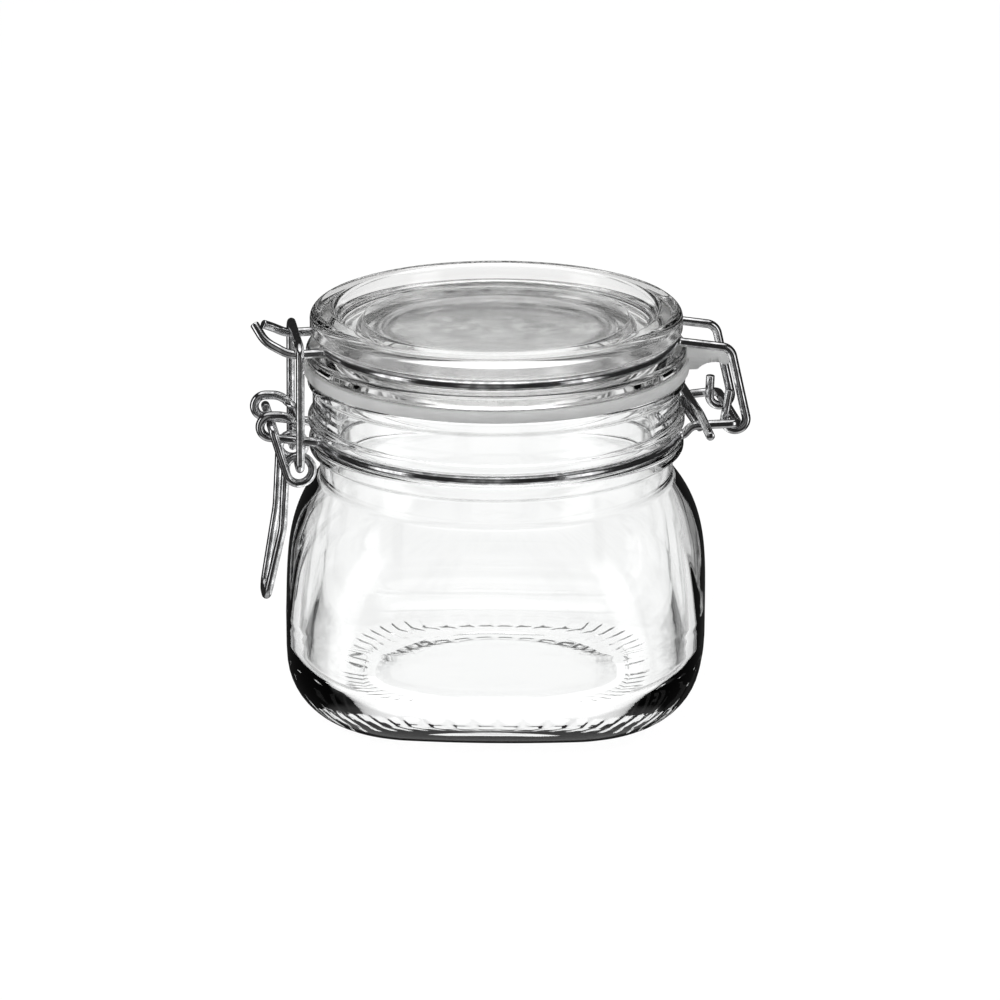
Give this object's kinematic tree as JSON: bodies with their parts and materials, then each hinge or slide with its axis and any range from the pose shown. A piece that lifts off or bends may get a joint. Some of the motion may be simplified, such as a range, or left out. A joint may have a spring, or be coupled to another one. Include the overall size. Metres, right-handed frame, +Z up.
{
  "type": "clip-top storage jar",
  "caption": "Rounded-square glass storage jar with a hinged glass lid, a sealing ring and an over-centre wire latch.",
  "frame": {"origin": "centre of the base, on the surface that the jar stands on", "axes": "+Z up, +X towards the hinge, -X towards the latch, -Y towards the side that the straight tail of the neck wire points to"},
  "size_m": [0.1228, 0.1076, 0.0994],
  "materials": {
    "glass": "clear pressed glass",
    "silicone": "translucent white silicone",
    "steel": "drawn steel wire"
  },
  "bodies": {
    "jar": {"jar_body": "glass", "neck_wire": "steel"},
    "lid": {"lid": "glass", "gasket": "silicone", "lid_wire": "steel"},
    "lever": {"lever": "steel"},
    "link": {"latch_link": "steel"}
  },
  "joints": [
    {"name": "lid_hinge", "type": "hinge", "parent": "jar", "child": "lid", "pos_m": [0.05762, 0, 0.0715], "axis": [0, 1, 0], "range_deg": [0, 180]},
    {"name": "lever_pivot", "type": "hinge", "parent": "jar", "child": "lever", "pos_m": [-0.05602, 0, 0.0736], "axis": [0, 1, 0], "range_deg": [0, 110]},
    {"name": "link_pivot", "type": "hinge", "parent": "lever", "child": "link", "pos_m": [-0.04952, 0, 0.0636], "axis": [0, 1, 0], "range_deg": [-150, 0], "deforming": ["latch_link"]}
  ],
  "couplings": [
    {"joint": "link_pivot", "follows": "lever_pivot", "ratio": -1.36}
  ]
}
